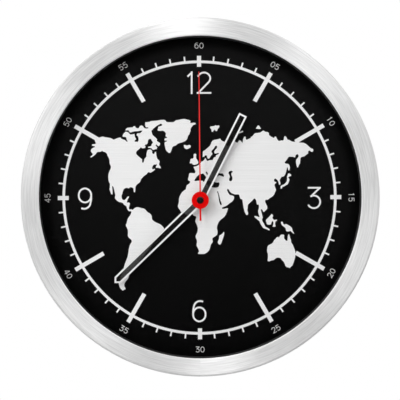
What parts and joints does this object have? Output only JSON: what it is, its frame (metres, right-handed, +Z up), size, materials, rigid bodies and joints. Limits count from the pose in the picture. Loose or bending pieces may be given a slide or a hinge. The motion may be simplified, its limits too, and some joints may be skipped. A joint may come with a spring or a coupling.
{
  "type": "wall clock",
  "caption": "Round wall clock with a brushed metal bezel, flat glass, a black dial with a world map, hour, minute and second hands and a battery quartz movement behind a keyhole back.",
  "frame": {"origin": "where the wall screw's shank sits at the top of the keyhole, in the plane of the wall", "axes": "+Y into the wall, -Y towards the viewer, +X to the viewer's right, +Z up"},
  "size_m": [0.3, 0.041, 0.3],
  "materials": {
    "bezel_aluminium": "circular brushed",
    "lens_glass": "polished",
    "case_plastic": "fine moulded grain",
    "dial_black": "satin black",
    "dial_fibreboard": "pressed board",
    "silver_print": "satin silver, faint horizontal brushing",
    "grey_print": "satin grey white",
    "hand_silver": "satin",
    "smoked_strip": "smoked gloss",
    "red_paint": "satin",
    "pin_black": "gloss black",
    "brass": "turned",
    "steel": "zinc plated",
    "movement_plastic": "moulded",
    "gear_plastic": "natural acetal",
    "rubber": "matt",
    "copper_wire": "enamelled wire",
    "circuit_laminate": "phenolic laminate",
    "chip_resin": "resin blob",
    "battery_wrap": "printed shrink wrap without words",
    "magnet": "bonded ferrite"
  },
  "bodies": {
    "case": {"bezel": "bezel_aluminium", "lens": "lens_glass", "lens_gasket": "rubber", "spacer_ring": "case_plastic", "dial_sheet": "dial_black", "dial_board": "dial_fibreboard", "world_map": "silver_print", "minute_track": "silver_print", "hour_numerals": "silver_print", "minute_numerals": "grey_print", "rear_cover": "case_plastic", "case_screws": "steel", "movement_front": "movement_plastic", "movement_rear": "movement_plastic", "mid_plate": "movement_plastic", "fixing_nut": "brass", "dial_washer": "brass", "rubber_washer": "rubber", "stator": "steel", "coil_core": "steel", "coil_bobbin": "movement_plastic", "coil_winding": "copper_wire", "coil_pins": "brass", "circuit_board": "circuit_laminate", "chip": "chip_resin", "quartz_crystal": "steel", "positive_contact": "steel", "negative_contact": "steel"},
    "second": {"second_hand": "red_paint", "second_hand_pin": "pin_black", "second_wheel": "gear_plastic", "second_shaft": "steel"},
    "intermediate": {"intermediate_wheel": "gear_plastic"},
    "rotor": {"rotor_pinion": "gear_plastic", "rotor_magnet": "magnet"},
    "third": {"third_wheel": "gear_plastic"},
    "going_minute": {"minute_wheel": "gear_plastic"},
    "minute": {"minute_hand": "hand_silver", "minute_hand_inlay": "smoked_strip", "minute_pipe": "brass", "clutch_spring": "brass"},
    "motion": {"motion_wheel": "gear_plastic"},
    "hour": {"hour_hand": "hand_silver", "hour_hand_inlay": "smoked_strip", "hour_wheel": "gear_plastic"},
    "setting": {"setting_knob": "movement_plastic", "setting_pinion": "gear_plastic"},
    "battery": {"battery_can": "steel", "battery_sleeve": "battery_wrap"}
  },
  "joints": [
    {"name": "second_spin", "type": "hinge", "parent": "case", "child": "second", "pos_m": [0, -0.02, -0.1147], "axis": [0, 1, 0], "continuous": true},
    {"name": "intermediate_spin", "type": "hinge", "parent": "case", "child": "intermediate", "pos_m": [-0.00902, -0.02, -0.11798], "axis": [0, 1, 0], "continuous": true},
    {"name": "rotor_spin", "type": "hinge", "parent": "case", "child": "rotor", "pos_m": [-0.01714, -0.02, -0.11581], "axis": [0, 1, 0], "continuous": true},
    {"name": "third_spin", "type": "hinge", "parent": "case", "child": "third", "pos_m": [0, -0.02, -0.1028], "axis": [0, 1, 0], "continuous": true},
    {"name": "going_minute_spin", "type": "hinge", "parent": "case", "child": "going_minute", "pos_m": [0, -0.02, -0.1147], "axis": [0, 1, 0], "continuous": true},
    {"name": "minute_spin", "type": "hinge", "parent": "case", "child": "minute", "pos_m": [0, -0.02, -0.1147], "axis": [0, 1, 0], "continuous": true},
    {"name": "motion_spin", "type": "hinge", "parent": "case", "child": "motion", "pos_m": [0.012, -0.02, -0.1147], "axis": [0, 1, 0], "continuous": true},
    {"name": "hour_spin", "type": "hinge", "parent": "case", "child": "hour", "pos_m": [0, -0.02, -0.1147], "axis": [0, 1, 0], "continuous": true},
    {"name": "setting_spin", "type": "hinge", "parent": "case", "child": "setting", "pos_m": [0.018, -0.02, -0.10431], "axis": [0, 1, 0], "continuous": true},
    {"name": "battery_slide", "type": "slide", "parent": "case", "child": "battery", "axis": [0, 1, 0], "range_m": [0, 0.02]}
  ],
  "couplings": [
    {"joint": "intermediate_spin", "follows": "second_spin", "ratio": -5},
    {"joint": "rotor_spin", "follows": "second_spin", "ratio": 30},
    {"joint": "third_spin", "follows": "second_spin", "ratio": -0.13333},
    {"joint": "going_minute_spin", "follows": "second_spin", "ratio": 0.016667},
    {"joint": "motion_spin", "follows": "minute_spin", "ratio": -0.33333},
    {"joint": "hour_spin", "follows": "minute_spin", "ratio": 0.083333},
    {"joint": "setting_spin", "follows": "minute_spin", "ratio": 1}
  ]
}
